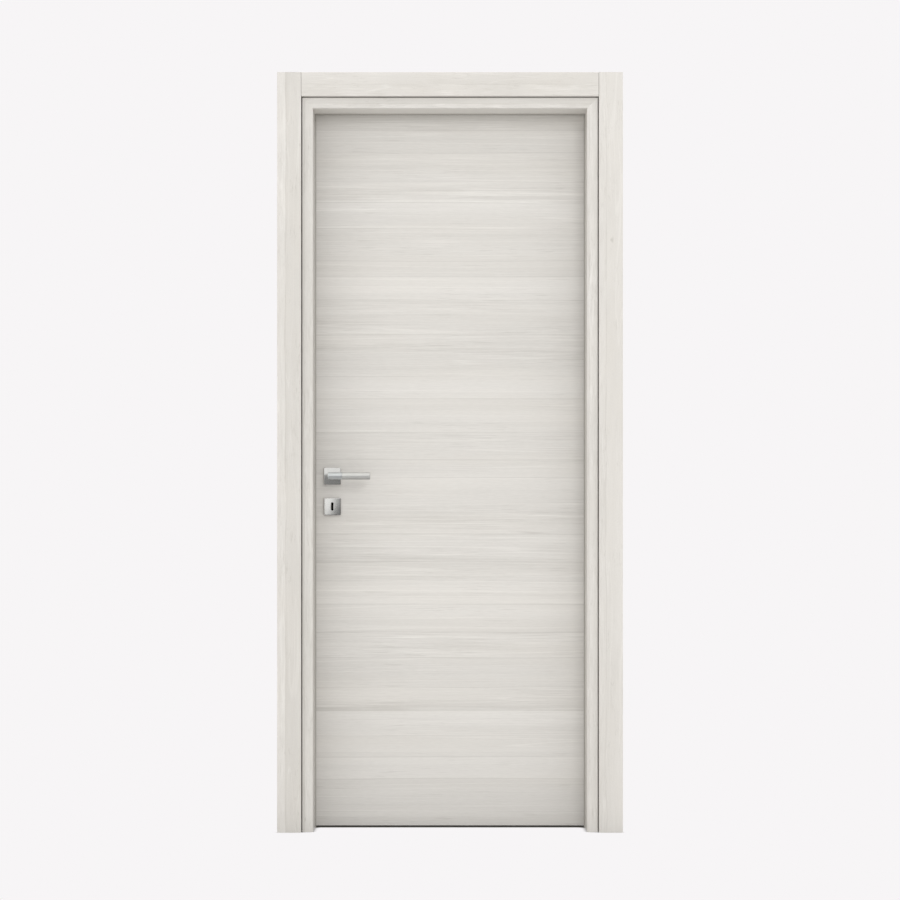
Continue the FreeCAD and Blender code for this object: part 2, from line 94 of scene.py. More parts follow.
# Shadow gap between jamb and architrave: where it starts and ends, outward from the passage, and how far
# behind the jamb's face the painted shade on its unlaminated edges starts and is whole
gap_width = 0.003
gap_end = node_box("architrave_front_hinge")[0][0] - hinge_jamb_low[0]
gap_start = gap_end - gap_width
gap_margin = 0.0004
gap_shade_starts = 0.001
gap_shade_whole = 0.003

# Fine sizes of the covers and the levers
cover_corner = 0.0022
cover_edge = 0.0009
hole_rim_drop = 0.0003
hole_wall_foot = 0.0005
largest_drop_share = 0.4
bore_radius = 0.0099
keyhole_height = 0.024
keyhole_end_radius = 0.00375
keyhole_waist = 0.006
neck_radius = 0.0095
neck_start = 0.002
neck_edge = 0.0004
bar_edge = 0.0012
points_round_cover = 160
points_round_bar = 96
merge_distance = 1e-7

# Camera: level and square on to the wall. It stands below the picture's middle, and its frame is shifted up.
camera_distance = 5.965
camera_height = 0.939
picture_middle = 1.115
view_width = 2.6258
sensor_width_mm = 36.0

# Backdrop, as it shows, and the light
backdrop_colour = (0.930, 0.913, 0.922, 1)
white = (1, 1, 1, 1)
sky_strength = 1.03
lamp_target = (-0.44, 0.0, 1.1)


# Shader helpers
def add(tree, kind, inputs=None, **settings):
    """A new shader node with its properties set and its sockets filled, by a value or by a link."""
    node = tree.nodes.new(kind)
    for name, value in settings.items():
        setattr(node, name, value)
    for key, value in (inputs or {}).items():
        fill(tree, node.inputs[key], value)
    return node


def fill(tree, socket, value):
    """Link a socket to an output, or set its value."""
    if isinstance(value, bpy.types.NodeSocket):
        tree.links.new(value, socket)
    else:
        socket.default_value = value


def calc(tree, operation, *values):
    """The result of one Math node."""
    node = add(tree, "ShaderNodeMath", dict(enumerate(values)), operation=operation)
    return node.outputs[0]


def remap(tree, value, low, high, to_low=0.0, to_high=1.0, smooth=False):
    """A value carried from the range low to high into the range to_low to to_high, and held at its ends."""
    node = add(tree, "ShaderNodeMapRange", {
        "Value": value, "From Min": low, "From Max": high, "To Min": to_low, "To Max": to_high,
    })
    node.interpolation_type = "SMOOTHSTEP" if smooth else "LINEAR"
    return node.outputs[0]


def rise(tree, value, low, high):
    """0 up to low and 1 from high on, with a smooth rise between."""
    return remap(tree, value, low, high, 0.0, 1.0, True)


def blend_colours(tree, factor, first, second, kind="MIX"):
    """First where the factor is 0 and second where it is 1. A mix of colours has them in sockets 6 and 7."""
    node = add(tree, "ShaderNodeMix", data_type="RGBA", blend_type=kind)
    for index, value in ((0, factor), (6, first), (7, second)):
        fill(tree, node.inputs[index], value)
    return node.outputs[2]


def tinted(colour, *factors):
    """A colour times one factor, or times a factor for each of its channels."""
    each = factors if len(factors) == 3 else factors * 3
    return tuple(c * f for c, f in zip(colour[:3], each)) + (1.0,)


def axes(tree, vector):
    """The three parts of a vector."""
    return add(tree, "ShaderNodeSeparateXYZ", {"Vector": vector}).outputs


def object_place(tree):
    """Object coordinates."""
    return add(tree, "ShaderNodeTexCoord").outputs["Object"]


def upward_normal(tree):
    """How far the surface faces up: 1 on top, 0 at the sides and -1 underneath."""
    return axes(tree, add(tree, "ShaderNodeNewGeometry").outputs["Normal"])["Z"]


def new_group(name, inputs, outputs):
    """An empty node group: inputs are (name, socket type, default), outputs are (name, socket type)."""
    group = bpy.data.node_groups.new(name, "ShaderNodeTree")
    for label, kind, default in inputs:
        socket = group.interface.new_socket(label, in_out="INPUT", socket_type=kind)
        if default is not None:
            socket.default_value = default
    for label, kind in outputs:
        group.interface.new_socket(label, in_out="OUTPUT", socket_type=kind)
    return group, group.nodes.new("NodeGroupInput"), group.nodes.new("NodeGroupOutput")


def use_group(tree, group, inputs):
    """A node group placed in a material."""
    return add(tree, "ShaderNodeGroup", inputs, node_tree=group)


def new_material(name):
    """An empty material, its node tree and its output."""
    material = bpy.data.materials.new(name)
    material.use_nodes = True
    tree = material.node_tree
    tree.nodes.clear()
    output = tree.nodes.new("ShaderNodeOutputMaterial")
    return material, tree, output


# Wood grain
noise_middle = 0.5


def stretched_noise(tree, along, across, depth, stretch, detail=2.0, roughness=0.5):
    """Noise drawn out along the grain: stretch is (cells per metre along, cells per metre across)."""
    vector = add(tree, "ShaderNodeCombineXYZ", {
        "X": calc(tree, "MULTIPLY", along, stretch[0]),
        "Y": calc(tree, "MULTIPLY", across, stretch[1]),
        "Z": calc(tree, "MULTIPLY", depth, stretch[1]),
    })
    noise = add(tree, "ShaderNodeTexNoise", {
        "Vector": vector.outputs[0], "Scale": 1.0, "Detail": detail, "Roughness": roughness,
    })
    return noise.outputs["Fac"]


def contour(tree, value, width):
    """1 along the line where a noise crosses its middle value, falling to 0 at width away."""
    away = calc(tree, "ABSOLUTE", calc(tree, "SUBTRACT", value, noise_middle))
    return remap(tree, away, 0.0, width, 1.0, 0.0, True)


def swelled(tree, noise, swell):
    """Noise whose swings from the middle are made larger or smaller."""
    swing = calc(tree, "SUBTRACT", noise, noise_middle)
    return calc(tree, "MULTIPLY_ADD", swing, swell, noise_middle)


def strip_cells(tree, lane, randomness, feature="F1"):
    """Strips of uneven width side by side, one to each whole step of the lane."""
    return add(tree, "ShaderNodeTexVoronoi", {"W": lane, "Scale": 1.0, "Randomness": randomness},
               voronoi_dimensions="1D", feature=feature).outputs


def cell_values(tree, cells):
    """Three random numbers that are the same all over a strip."""
    return add(tree, "ShaderNodeSeparateColor", {"Color": cells["Color"]}).outputs


def grain_group():
    """Whitewashed wood: strips of veneer side by side, each with its own tone and density of fine lines, a
    thin dark joint between strips, long thin lines, pale and dark, that follow the grain, short fibres, and
    patches of short dark dashes."""
    group, start, end = new_group("whitewashed_grain", [
        ("Vector", "NodeSocketVector", None),
        ("Strip Width", "NodeSocketFloat", 0.09),
        ("Shortness", "NodeSocketFloat", 1.0),
        ("Seed", "NodeSocketFloat", 0.0),
    ], [
        ("Tone", "NodeSocketFloat"),
        ("Streak", "NodeSocketFloat"),
        ("Warmth", "NodeSocketFloat"),
        ("Height", "NodeSocketFloat"),
    ])
    x, y, z = axes(group, start.outputs["Vector"])
    seed = start.outputs["Seed"]
    width = start.outputs["Strip Width"]
    along = calc(group, "MULTIPLY", calc(group, "ADD", x, seed), start.outputs["Shortness"])
    depth = calc(group, "ADD", z, seed)

    # The grain's lines sway a few millimetres to either side
    sway_width = 0.009
    sway = stretched_noise(group, along, y, depth, (1.4, 5.0), 1.0)
    across = calc(group, "MULTIPLY_ADD", calc(group, "SUBTRACT", sway, noise_middle), sway_width, y)

    # Strips, and narrower ribbons in them. Noise in a strip starts at a place of its own.
    lane = calc(group, "ADD", calc(group, "DIVIDE", across, width), seed)
    strip_unevenness = 0.85
    strips = strip_cells(group, lane, strip_unevenness)
    strip_tone, strip_shift, strip_turn = list(cell_values(group, strips))[:3]
    strip_along = calc(group, "MULTIPLY_ADD", strip_shift, 7.0, along)
    strip_across = calc(group, "MULTIPLY_ADD", strip_turn, 0.4, across)
    ribbons_in_strip = 4.3
    ribbon_lane = calc(group, "MULTIPLY", lane, ribbons_in_strip)
    ribbon = cell_values(group, strip_cells(group, ribbon_lane, 1.0))[0]

    def board_noise(stretch, detail):
        """Noise in the board's own coordinates, which runs on from strip to strip."""
        return stretched_noise(group, along, across, depth, stretch, detail)

    def strip_noise(stretch, detail, roughness=0.5):
        """Noise in each strip's shifted coordinates, which breaks off at the strip's edges."""
        return stretched_noise(group, strip_along, strip_across, depth, stretch, detail, roughness)

    # Lines of four widths, denser in some strips and in some clumps, and clouds over all of them
    strip_density = remap(group, strip_turn, 0.1, 0.9, 0.3, 1.5)
    clump_density = remap(group, board_noise((3.2, 17.0), 2.0), 0.36, 0.64, 0.45, 1.6, True)
    density = calc(group, "MULTIPLY", strip_density, clump_density)
    broad = strip_noise((0.45, 16.0), 2.0)
    middle = swelled(group, strip_noise((2.0, 85.0), 2.0, 0.6), density)
    fine = swelled(group, strip_noise((5.5, 330.0), 3.0, 0.65), density)
    fibre = strip_noise((50.0, 520.0), 1.0)
    cloud = board_noise((1.2, 3.5), 2.0)

    # Joints between strips, which fade in and out
    joint_width = 0.0026
    edges = strip_cells(group, lane, strip_unevenness, "DISTANCE_TO_EDGE")
    edge_distance = calc(group, "MULTIPLY", edges["Distance"], width)
    joint = remap(group, edge_distance, 0.0, joint_width, 1.0, 0.0, True)
    joint_shown = remap(group, board_noise((1.6, 9.0), 1.0), 0.32, 0.56, 0.15, 1.0, True)
    joint = calc(group, "MULTIPLY", joint, joint_shown)

    # Single lines and dashes
    pale = contour(group, strip_noise((0.35, 26.0), 1.5), 0.016)
    dark = contour(group, strip_noise((0.5, 34.0), 1.5), 0.014)
    dark = calc(group, "MULTIPLY", dark, rise(group, strip_noise((1.7, 24.0), 1.0), 0.5, 0.68))
    dash = rise(group, strip_noise((11.0, 360.0), 1.0), 0.58, 0.70)
    dash = calc(group, "MULTIPLY", dash, rise(group, board_noise((3.0, 22.0), 1.0), 0.5, 0.64))

    even_weights = (
        (strip_tone, 0.17),
        (ribbon, 0.08),
        (broad, 0.38),
        (middle, 0.36),
        (fine, 0.46),
        (fibre, 0.24),
        (cloud, 0.14),
    )
    mark_weights = ((pale, 0.14), (joint, -0.22), (dark, -0.12), (dash, -0.22))
    tone = noise_middle - sum(weight for _, weight in even_weights) / 2
    for value, weight in even_weights + mark_weights:
        tone = calc(group, "MULTIPLY_ADD", value, weight, tone)

    streak = contour(group, strip_noise((0.8, 30.0), 1.0), 0.020)
    streak = calc(group, "MULTIPLY", streak, rise(group, strip_noise((5.0, 30.0), 1.0), 0.66, 0.80))
    warmth = remap(group, board_noise((1.3, 14.0), 1.0), 0.4, 0.72)
    fine_height = 0.6
    streak_height = -0.8
    height = calc(group, "MULTIPLY_ADD", fine, fine_height, calc(group, "MULTIPLY", streak, streak_height))
    group.links.new(tone, end.inputs["Tone"])
    group.links.new(streak, end.inputs["Streak"])
    group.links.new(warmth, end.inputs["Warmth"])
    group.links.new(height, end.inputs["Height"])
    return group


def brushed_group():
    """Satin metal: hairlines across the piece that vary its roughness and its surface, and faint clouds."""
    group, start, end = new_group("satin_brushing", [
        ("Vector", "NodeSocketVector", None),
    ], [
        ("Roughness", "NodeSocketFloat"),
        ("Tone", "NodeSocketFloat"),
        ("Height", "NodeSocketFloat"),
    ])
    x, y, z = axes(group, start.outputs["Vector"])
    hairline = stretched_noise(group, x, z, y, (60.0, 6000.0), 2.0)
    cloud = stretched_noise(group, x, z, y, (60.0, 80.0), 2.0)
    swing = 0.12
    least_roughness = 0.27
    least_tone = 0.94
    group.links.new(calc(group, "MULTIPLY_ADD", hairline, swing, least_roughness), end.inputs["Roughness"])
    group.links.new(calc(group, "MULTIPLY_ADD", cloud, swing, least_tone), end.inputs["Tone"])
    group.links.new(hairline, end.inputs["Height"])
    return group


def gap_group():
    """1 deep inside the shadow gap between the jamb and the architrave, where the boards' unlaminated edges
    are darkened as painted shade.
    """
    group, start, end = new_group("shadow_gap", [
        ("Vector", "NodeSocketVector", None),
    ], [
        ("Mask", "NodeSocketFloat"),
    ])
    x, y, z = axes(group, start.outputs["Vector"])
    from_centre = calc(group, "ABSOLUTE", calc(group, "SUBTRACT", x, passage_centre_x))
    sideways = calc(group, "SUBTRACT", from_centre, passage_half)
    upward = calc(group, "SUBTRACT", z, passage_top)
    outward = calc(group, "MAXIMUM", sideways, upward)
    past_start = calc(group, "GREATER_THAN", outward, gap_start - gap_margin)
    before_end = calc(group, "LESS_THAN", outward, gap_end + gap_margin)
    inside = calc(group, "MULTIPLY", past_start, before_end)
    past_face = calc(group, "SUBTRACT", calc(group, "ABSOLUTE", y), abs(jamb_front_y))
    deep = remap(group, past_face, -gap_shade_starts, -gap_shade_whole)
    group.links.new(calc(group, "MULTIPLY", inside, deep), end.inputs["Mask"])
    return group


whitewashed_grain = grain_group()
satin_brushing = brushed_group()
shadow_gap = gap_group()


# Materials
def grain_vector(tree, direction):
    """Object coordinates put in the order along the grain, across it, through the piece."""
    x, y, z = axes(tree, object_place(tree))
    along, across = (x, z) if direction == "level" else (z, x)
    return add(tree, "ShaderNodeCombineXYZ", {"X": along, "Y": across, "Z": y}).outputs[0]


def laminate(name, direction, seed, light, dark, strip_width=0.075, shortness=1.0):
    """Wood-grain laminate: light where the whitewash is thick, dark in the streaks of the grain. Painted
    shade darkens the unlaminated board edges in the shadow gap, and a face turned down is painted lighter,
    as painted light."""
    material, tree, output = new_material(name)
    grain = use_group(tree, whitewashed_grain, {
        "Vector": grain_vector(tree, direction), "Strip Width": strip_width, "Shortness": shortness,
        "Seed": seed,
    }).outputs
    gap_shade = use_group(tree, shadow_gap, {"Vector": object_place(tree)}).outputs
    # Painted light: a face turned down is painted lighter, as if lit from below
    under = remap(tree, upward_normal(tree), -0.7, -0.9)
    colour = blend_colours(tree, remap(tree, grain["Tone"], 0.14, 0.86), dark, light)
    layers = (
        (calc(tree, "MULTIPLY", grain["Warmth"], 0.12), tinted(light, 0.985, 0.955, 0.905)),
        (calc(tree, "MULTIPLY", grain["Streak"], 0.55), tinted(dark, 0.80, 0.79, 0.77)),
        # Painted shade deep in the shadow gap, on the boards' unlaminated edges
        (gap_shade["Mask"], tinted(dark, 0.85)),
        # Painted light on a face turned down
        (calc(tree, "MULTIPLY", under, 0.8), tinted(light, 1.22)),
    )
    for share, layer_colour in layers:
        colour = blend_colours(tree, share, colour, layer_colour)
    bump = add(tree, "ShaderNodeBump", {"Height": grain["Height"], "Strength": 0.25, "Distance": 0.0002})
    surface = add(tree, "ShaderNodeBsdfPrincipled", {
        "Base Color": colour, "Roughness": 0.55, "IOR": 1.46, "Normal": bump.outputs[0],
    })
    tree.links.new(surface.outputs[0], output.inputs["Surface"])
    return material


def metal(name, colour, roughness_shift=0.0, bump_strength=0.1, metallic=1.0, rim=1.0, underside_shade=1.0):
    """Satin metal. rim is its tint at a grazing angle. Where it faces down, its colour is painted darker, to
    the given share of it, as painted shade."""
    material, tree, output = new_material(name)
    brushing = use_group(tree, satin_brushing, {"Vector": object_place(tree)}).outputs
    tone = add(tree, "ShaderNodeCombineColor", dict.fromkeys(range(3), brushing["Tone"])).outputs[0]
    # Painted shade: the colour is darker where the surface faces down
    down = remap(tree, upward_normal(tree), -0.7, -0.97)
    shown = blend_colours(tree, down, colour, tinted(colour, underside_shade))
    bump = add(tree, "ShaderNodeBump", {
        "Height": brushing["Height"], "Strength": bump_strength, "Distance": 0.00005,
    })
    surface = add(tree, "ShaderNodeBsdfPrincipled", {
        "Base Color": blend_colours(tree, 1.0, shown, tone, "MULTIPLY"),
        "Metallic": metallic,
        "Specular Tint": (rim, rim, rim, 1),
        "Roughness": calc(tree, "ADD", brushing["Roughness"], roughness_shift),
        "Normal": bump.outputs[0],
    })
    tree.links.new(surface.outputs[0], output.inputs["Surface"])
    return material


def softwood():
    """Planed softwood: straight yellow-brown rings along the piece."""
    material, tree, output = new_material("softwood")
    grain = use_group(tree, whitewashed_grain, {
        "Vector": grain_vector(tree, "upright"), "Strip Width": 0.06, "Seed": 4.0,
    })
    colour = blend_colours(tree, grain.outputs["Tone"], (0.34, 0.20, 0.09, 1), (0.62, 0.44, 0.25, 1))
    surface = add(tree, "ShaderNodeBsdfPrincipled", {"Base Color": colour, "Roughness": 0.7})
    tree.links.new(surface.outputs[0], output.inputs["Surface"])
    return material


def speckled(name, dark, light, scale, roughness, specular=0.5):
    """A plain matt material with a fine, faint mottle."""
    material, tree, output = new_material(name)
    noise = add(tree, "ShaderNodeTexNoise", {"Vector": object_place(tree), "Scale": scale, "Detail": 3.0})
    surface = add(tree, "ShaderNodeBsdfPrincipled", {
        "Base Color": blend_colours(tree, noise.outputs["Fac"], dark, light),
        "Roughness": roughness,
        "Specular IOR Level": specular,
    })
    tree.links.new(surface.outputs[0], output.inputs["Surface"])
    return material


board_colours = ((0.775, 0.75, 0.712, 1), (0.58, 0.555, 0.513, 1))
# A darker copy of the board laminate for the lock jamb and the head jamb: painted shade
jamb_shaded_colours = ((0.75, 0.727, 0.69, 1), (0.56, 0.537, 0.497, 1))
leaf_colours = ((0.80, 0.778, 0.742, 1), (0.58, 0.558, 0.522, 1))
board_grain = (0.05, 4.5)
edge_grain = (0.05, 3.0)
materials = {
    "architrave_lock": laminate("laminate_architrave_lock", "upright", 1.3, *board_colours, *board_grain),
    "architrave_hinge": laminate("laminate_architrave_hinge", "upright", 5.9, *board_colours, *board_grain),
    "architrave_head": laminate("laminate_architrave_head", "level", 3.1, *board_colours, *board_grain),
    "jamb_lock": laminate("laminate_jamb_lock", "upright", 8.2, *jamb_shaded_colours, *board_grain),
    "jamb_hinge": laminate("laminate_jamb_hinge", "upright", 2.7, *board_colours, *board_grain),
    "jamb_head": laminate("laminate_jamb_head", "level", 6.4, *jamb_shaded_colours, *board_grain),
    "leaf": laminate("laminate_leaf", "level", 41.195, *leaf_colours),
    "leaf_edge": laminate("laminate_leaf_edge", "upright", 7.1, *leaf_colours, *edge_grain),
    "softwood": softwood(),
    "card": speckled("core_card", (0.28, 0.20, 0.12, 1), (0.40, 0.30, 0.19, 1), 90.0, 0.9),
    "seal": speckled("seal_rubber", (0.41, 0.39, 0.355, 1), (0.49, 0.47, 0.43, 1), 160.0, 0.6),
    # The lock case is blackened, and made nearly black so that the keyhole reads as deep shade: painted
    # shade
    "lock_dark": speckled("lock_blackened_and_shade", (0.002, 0.002, 0.002, 1), (0.004, 0.004, 0.004, 1), 300.0, 0.8,
                          0.05),
    "satin": metal("satin_nickel", (0.62, 0.62, 0.61, 1), -0.10),
    # The grip's colour is painted darker where it faces down, as painted shade
    "satin_grip": metal("satin_nickel_grip", (0.71, 0.71, 0.69, 1), 0.2, metallic=0.8, rim=0.4,
                        underside_shade=0.5),
    "polished": metal("polished_nickel", (0.66, 0.685, 0.69, 1), 0.12, 0.03, metallic=0.85, rim=0.6),
    "zinc": metal("zinc_steel", (0.52, 0.53, 0.55, 1), 0.1),
}


def material_for(name):
    """The material of a node, from its name."""
    if name.startswith("architrave"):
        return materials["architrave_" + name.rsplit("_", 1)[1]]
    if name.startswith("jamb"):
        return materials["jamb_" + name.rsplit("_", 1)[1]]
    if name.startswith("seal"):
        return materials["seal"]
    if name in ("leaf_front_skin", "leaf_back_skin"):
        return materials["leaf"]
    if name.startswith("leaf_edge_band"):
        return materials["leaf_edge"]
    if name == "leaf_honeycomb_core":
        return materials["card"]
    if name.startswith("leaf"):
        return materials["softwood"]
    if name == "lock_case":
        return materials["lock_dark"]
    if name == "spindle":
        return materials["zinc"]
    if name.startswith("lever_elbow"):
        return materials["polished"]
    return materials["satin"]


for name, node in nodes.items():
    node.data.materials.clear()
    node.data.materials.append(material_for(name))


# Surfaces
def mesh_object(name, vertices, faces, material, body, replaced):
    """A smooth mesh piece in the part's frame, from whole arrays of points and faces. Points that coincide,
    at a bar's pole, are made one."""
    mesh = bpy.data.meshes.new(name)
    mesh.from_pydata(vertices.tolist(), [], faces.tolist())
    shell = bmesh.new()
    shell.from_mesh(mesh)
    bmesh.ops.remove_doubles(shell, verts=shell.verts, dist=merge_distance)
    shell.to_mesh(mesh)
    shell.free()
    mesh.polygons.foreach_set("use_smooth", np.full(len(mesh.polygons), True))
    mesh.materials.append(material)
    piece = bpy.data.objects.new(name, mesh)
    bpy.context.collection.objects.link(piece)
    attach(piece, body)
    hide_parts(*replaced)
    return piece


def ring_faces(rings, count):
    """Quads between successive rings of count points each."""
    i, j = np.meshgrid(np.arange(rings - 1), np.arange(count), indexing="ij")
    beside = (j + 1) % count
    quads = [i * count + j, i * count + beside, (i + 1) * count + beside, (i + 1) * count + j]
    return np.stack(quads, -1).reshape(-1, 4)


def directions(count):
    """Unit vectors all round: the cosine and the sine of evenly spaced angles."""
    angle = np.linspace(0.0, 2.0 * np.pi, count, endpoint=False)
    return np.stack([np.cos(angle), np.sin(angle)], 1)


def rounded_square(half, corner):
    """Points round a square of half width, its corners rounded: the direction at an angle gives a point
    on the square, and points past a corner's centre are pulled onto the corner's circle."""
    direction = directions(points_round_cover)
    square = direction * (half / np.abs(direction).max(1))[:, None]
    centre = np.clip(square, -(half - corner), half - corner)
    offset = square - centre
    length = np.linalg.norm(offset, axis=1)
    return centre + offset * (corner / np.maximum(length, 1e-9))[:, None]


def spindle_hole():
    """Points round the rose's hole: a circle of the bore's radius."""
    return directions(points_round_cover) * bore_radius


def keyhole():
    """Points round the keyhole: two circles' outer arcs joined by a narrower straight-sided waist. Each
    point lies on the ray at its angle where it leaves the union of the two circles and the waist."""
    x, z = directions(points_round_cover).T
    rise_to_centre = keyhole_height / 2 - keyhole_end_radius
    middle = np.abs(z) * rise_to_centre
    inside = np.maximum(keyhole_end_radius ** 2 - rise_to_centre ** 2 + middle ** 2, 0.0)
    to_circle = middle + np.sqrt(inside)
    meets = (keyhole_end_radius ** 2 - (rise_to_centre * x) ** 2) > 0
    to_waist = keyhole_waist / 2 / np.maximum(np.abs(x), 1e-9)
    past_centre = to_circle * np.abs(z) > rise_to_centre - 1e-4
    reach = np.where(meets & past_centre, to_circle, to_waist)
    return np.stack([x, z], 1) * reach[:, None]


def cover_rings(hole):
    """A pressed square cover as rings of points with their heights over the seat: up the side, round the
    edge by a quarter circle, across the face in even steps from the rim to the hole, and down the hole's
    wall."""
    shoulder = cover_depth - cover_edge
    rings = [(rounded_square(cover_half, cover_corner), share * shoulder) for share in (0.0, 0.4, 0.8)]
    for turn in np.linspace(0.0, np.pi / 2, 7):
        inset = cover_edge * (1.0 - math.cos(turn))
        ring = rounded_square(cover_half - inset, cover_corner - inset)
        rings.append((ring, shoulder + cover_edge * math.sin(turn)))
    rim = rings[-1][0]
    hole_edge = hole * 1.01
    for share in np.linspace(0.0, 1.0, 12)[1:]:
        rings.append((rim * (1.0 - share) + hole_edge * share, cover_depth))
    rings.append((hole, cover_depth - hole_rim_drop))
    rings.append((hole, hole_wall_foot))
    return rings


def cover(kind, side, height_z, hole, bow, crest, spread):
    """A rose or an escutcheon, with its face bowed back. Along X it bows by the square of the distance from
    its middle. Along Z it bows by the logarithm of the hyperbolic cosine of the distance from its crest over
    the spread, so it is round near the crest and runs on straight. bow is the two drops at half a width, and
    the crest lies the given height over the middle."""
    rings = cover_rings(hole)
    flat = np.stack([ring for ring, _ in rings])
    height = np.array([height for _, height in rings])[:, None]
    fall = np.log(np.cosh((flat[..., 1] - crest) / spread)) / math.log(math.cosh(cover_half / spread))
    drop = bow[0] * (flat[..., 0] / cover_half) ** 2 + bow[1] * fall
    drop = np.minimum(drop, height * largest_drop_share)
    points = np.stack([flat[..., 0], height - drop, flat[..., 1]], -1).reshape(-1, 3)
    faces = ring_faces(len(rings), points_round_cover)
    if side == "front":
        points = points * np.array([1, -1, 1]) + np.array([spindle_x, leaf_front_y, height_z])
    else:
        points = points + np.array([spindle_x, leaf_back_y, height_z])
        faces = faces[:, ::-1]
    mesh_object(kind + "_" + side + "_cover", points, faces, materials["satin"], "leaf",
                [kind + "_" + side])


def swept_tube(profile, frame_of):
    """Rings of a round bar. Each profile row is (distance along the bar's axis, radius); frame_of gives, for
    a distance, the axis point and the two unit directions that span the ring's plane. A ring's points are
    the axis point plus the radius times the cosine and the sine of the angle along those two directions."""
    cosine, sine = directions(points_round_bar).T[:, :, None]
    rings = []
    for distance, radius in profile:
        origin, right, up = frame_of(distance)
        rings.append(origin + radius * (cosine * right + sine * up))
    return np.concatenate(rings), ring_faces(len(profile), points_round_bar)


def rounded_end(distance, radius, outward):
    """Profile rows that close a bar: from its side round the edge by a quarter circle and across its flat
    end to the pole. outward is +1 at the far end and -1 at the near end."""
    rows = []
    for turn in np.linspace(0.0, np.pi / 2, 5):
        back = bar_edge * (1.0 - math.sin(turn))
        rows.append((distance - outward * back, radius - bar_edge * (1.0 - math.cos(turn))))
    for share in (0.66, 0.33, 0.0):
        rows.append((distance, (radius - bar_edge) * share))
    return rows


# Profile rows at the joint of sleeve and grip: (distance past the sleeve's end, how far in from the side)
sleeve_rim = ((-0.002, 0.0), (-0.0004, 0.0), (-0.0001, 0.0002), (0.0, 0.0006))
grip_shoulder = ((-0.004, 0.0007), (0.0001, 0.0006), (0.0004, 0.0002), (0.0009, 0.0))
sleeve_mouth_inset = 0.0008
sleeve_side_start = 0.003
grip_side_margin = 0.006


def lever(side):
    """Neck and sleeve of polished metal, then the satin grip that is pushed into the sleeve. Each is a
    profile carried along a straight axis: the neck's out of the leaf, the others' along the lever."""
    face_y = leaf_front_y if side == "front" else leaf_back_y
    out = -1.0 if side == "front" else 1.0
    axis_y = face_y + out * lever_reach
    x_way, y_way, z_way = np.eye(3)
    handed = z_way if side == "front" else -z_way

    def along_neck(distance):
        """A point that far out from the leaf's face on the spindle's axis, and two directions across it."""
        return np.array([spindle_x, face_y + out * distance, spindle_z]), x_way, -handed

    def along_bar(distance):
        """A point that far from the spindle on the lever's level axis, and two directions across it."""
        return np.array([spindle_x + distance, axis_y, spindle_z]), y_way, z_way

    neck_end = lever_reach - sleeve_radius * 0.6
    neck_rows = [
        (neck_start, neck_radius * 0.7),
        (neck_start, neck_radius - neck_edge),
        (neck_start + neck_edge, neck_radius),
        (neck_end, neck_radius),
    ]
    neck, neck_faces = swept_tube(neck_rows, along_neck)
    sleeve_rows = rounded_end(sleeve_start, sleeve_radius, -1.0)[::-1]
    sleeve_rows.append((sleeve_start + sleeve_side_start, sleeve_radius))
    sleeve_rows += [(sleeve_end + past, sleeve_radius - inset) for past, inset in sleeve_rim]
    sleeve_rows.append((sleeve_end, grip_radius - sleeve_mouth_inset))
    sleeve, sleeve_faces = swept_tube(sleeve_rows, along_bar)
    points = np.concatenate([neck, sleeve])
    faces = np.concatenate([neck_faces, sleeve_faces + len(neck)])
    mesh_object("lever_elbow_" + side + "_bar", points, faces, materials["polished"], "handles",
                ["lever_elbow_" + side])

    grip_rows = [(sleeve_end + past, grip_radius - inset) for past, inset in grip_shoulder]
    side_run = np.linspace(sleeve_end + grip_side_margin, grip_end - grip_side_margin, 12)
    grip_rows += [(distance, grip_radius) for distance in side_run]
    grip_rows += rounded_end(grip_end, grip_radius, 1.0)
    grip, grip_faces = swept_tube(grip_rows, along_bar)
    mesh_object("lever_grip_" + side + "_bar", grip, grip_faces, materials["satin_grip"], "handles",
                ["lever_grip_" + side])


for side in ("front", "back"):
    lever(side)
for side in ("front", "back"):
    cover("rose", side, spindle_z, spindle_hole(), bow=(0.0001, 0.0022), crest=0.007, spread=0.006)
for side in ("front", "back"):
    cover("escutcheon", side, keyhole_z, keyhole(), bow=(0.0016, 0.0006), crest=0.0, spread=0.03)


# Camera, world, floor and lamps
def make_camera():
    """The photograph's view: a level camera, its lens set so that the view's width fits at its distance."""
    data = bpy.data.cameras.new("camera")
    camera = bpy.data.objects.new("camera", data)
    bpy.context.collection.objects.link(camera)
    data.sensor_width = sensor_width_mm
    data.lens = sensor_width_mm * camera_distance / view_width
    data.shift_y = (picture_middle - camera_height) / view_width
    data.clip_end = 100.0
    camera.location = (passage_centre_x, jamb_front_y - camera_distance, camera_height)
    camera.rotation_euler = (math.pi / 2, 0.0, 0.0)
    bpy.context.scene.camera = camera


